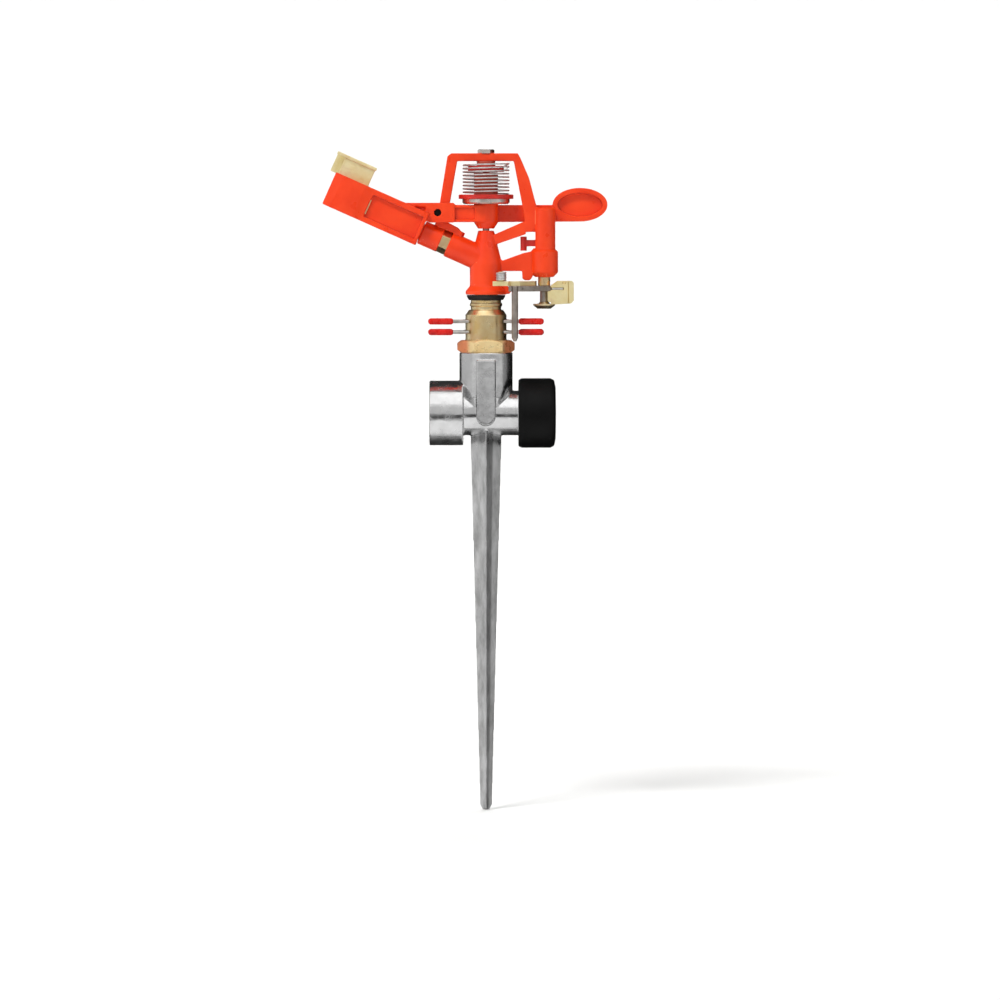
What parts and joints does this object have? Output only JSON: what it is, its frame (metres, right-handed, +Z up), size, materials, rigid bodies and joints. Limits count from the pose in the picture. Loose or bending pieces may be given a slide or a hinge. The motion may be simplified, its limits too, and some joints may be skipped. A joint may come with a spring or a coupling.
{
  "type": "impact sprinkler",
  "caption": "Part-circle impact sprinkler with a sprung swinging arm, reversing trip, stop clips and a hose tee on a four-ribbed ground spike.",
  "frame": {"origin": "tip of the ground spike, on the riser's vertical axis", "axes": "+Z up along the spike and riser, +X along the hose line from the hose socket towards the end cap, +Y away from the viewer of the label side; the nozzle points to -X"},
  "size_m": [0.1363, 0.0332, 0.3168],
  "materials": {
    "bright_zinc": "bright polished zinc casting, duller on the spike",
    "washer_rubber": "black rubber",
    "black_rubber": "black rubber",
    "brass": "machined and cast brass",
    "cap_plastic": "satin black plastic",
    "clip_wire": "drawn steel wire",
    "red_vinyl": "dipped red vinyl",
    "red_paint": "orange-red gloss enamel on a zinc casting",
    "white_nylon": "natural nylon",
    "spring_steel": "bright spring steel",
    "pin_steel": "satin steel",
    "nickel": "nickel plate",
    "red_plastic": "red moulded plastic"
  },
  "bodies": {
    "base": {"spike_body": "bright_zinc", "inlet_washer": "washer_rubber", "bearing_nipple": "brass", "top_seal": "black_rubber"},
    "cap_carrier": {"cap_washer": "washer_rubber"},
    "cap": {"end_cap": "cap_plastic"},
    "upper_clip": {"upper_clip_wire": "clip_wire", "upper_clip_tips": "red_vinyl"},
    "lower_clip": {"lower_clip_wire": "clip_wire", "lower_clip_tips": "red_vinyl"},
    "head": {"head_casting": "red_paint", "bearing_sleeve": "brass", "sleeve_washer": "white_nylon", "pressure_spring": "spring_steel", "nozzle": "brass", "nozzle_nut": "brass", "fulcrum_pin": "pin_steel", "pin_nut": "nickel", "tension_ring": "red_plastic", "trip_bush": "brass"},
    "arm": {"impact_arm": "red_paint", "arm_bush": "white_nylon", "arm_plug": "cap_plastic", "drive_vane": "brass", "spring_spool": "red_plastic", "spring_cup": "nickel", "arm_spring": "spring_steel"},
    "trip": {"trip_shaft": "pin_steel", "trip_lever": "pin_steel", "trip_link": "brass", "trip_spacer": "pin_steel", "trip_washer": "brass", "swing_weight": "brass", "spring_leg": "spring_steel", "toggle_spring": "spring_steel", "reversing_latch": "red_plastic", "trip_axle": "pin_steel"},
    "trip_pin": {"trip_pin": "pin_steel"}
  },
  "joints": [
    {"name": "cap_turn", "type": "hinge", "parent": "cap_carrier", "child": "cap", "pos_m": [0.0246, 0, 0.1906], "axis": [1, 0, 0], "range_deg": [0, 1440]},
    {"name": "cap_slide", "type": "slide", "parent": "base", "child": "cap_carrier", "axis": [1, 0, 0], "range_m": [0, 0.0088]},
    {"name": "upper_clip_turn", "type": "hinge", "parent": "base", "child": "upper_clip", "pos_m": [0, 0, 0.2346], "axis": [0, 0, 1], "range_deg": [-13, 105]},
    {"name": "lower_clip_turn", "type": "hinge", "parent": "base", "child": "lower_clip", "pos_m": [0, 0, 0.2295], "axis": [0, 0, 1], "range_deg": [-13, 105]},
    {"name": "head_turn", "type": "hinge", "parent": "base", "child": "head", "pos_m": [0, 0, 0.2474], "axis": [0, 0, 1], "range_deg": [-106, 13]},
    {"name": "arm_swing", "type": "hinge", "parent": "head", "child": "arm", "pos_m": [0, 0, 0.2849], "axis": [0, 0, 1], "range_deg": [0, 120], "stiffness_Nm_per_rad": 0.02, "springref_deg": -34.38, "deforming": ["arm_spring"]},
    {"name": "trip_swing", "type": "hinge", "parent": "head", "child": "trip", "pos_m": [0.02785, 0, 0.2503], "axis": [0, 0, 1], "range_deg": [0, 14]},
    {"name": "trip_pin_flip", "type": "hinge", "parent": "trip", "child": "trip_pin", "pos_m": [0.0138, -0.013, 0.2502], "axis": [-1, 0, 0], "range_deg": [0, 100]}
  ],
  "couplings": [
    {"joint": "cap_turn", "follows": "cap_slide", "rad_per_m": 2844.7}
  ]
}
